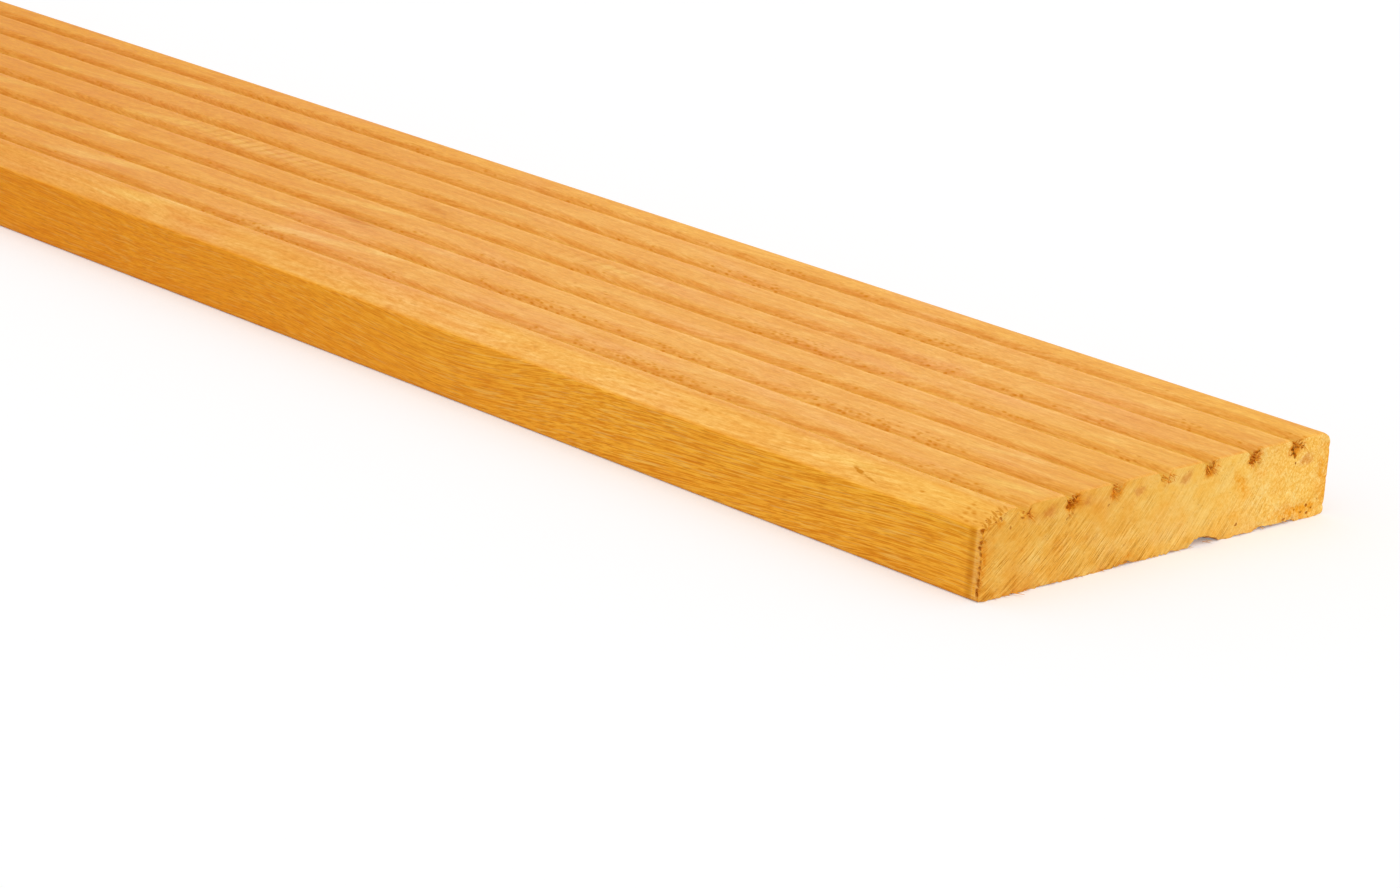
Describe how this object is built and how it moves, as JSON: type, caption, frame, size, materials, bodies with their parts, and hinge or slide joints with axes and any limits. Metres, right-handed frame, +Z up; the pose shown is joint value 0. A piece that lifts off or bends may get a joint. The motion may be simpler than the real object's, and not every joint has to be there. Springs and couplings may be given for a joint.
{
  "type": "grooved decking plank",
  "caption": "Long hardwood decking plank: shallow grooves run along its upper face between flat lands, its long edges are eased, and the underside is planed flat.",
  "frame": {"origin": "middle of the flat underside, where the plank rests on its joists", "axes": "+X along the plank, +Y across its width, +Z up out of the grooved face"},
  "size_m": [2.45, 0.145, 0.025],
  "materials": {
    "hardwood": "planed, unfinished"
  },
  "bodies": {
    "root": {"plank": "hardwood"}
  },
  "joints": []
}
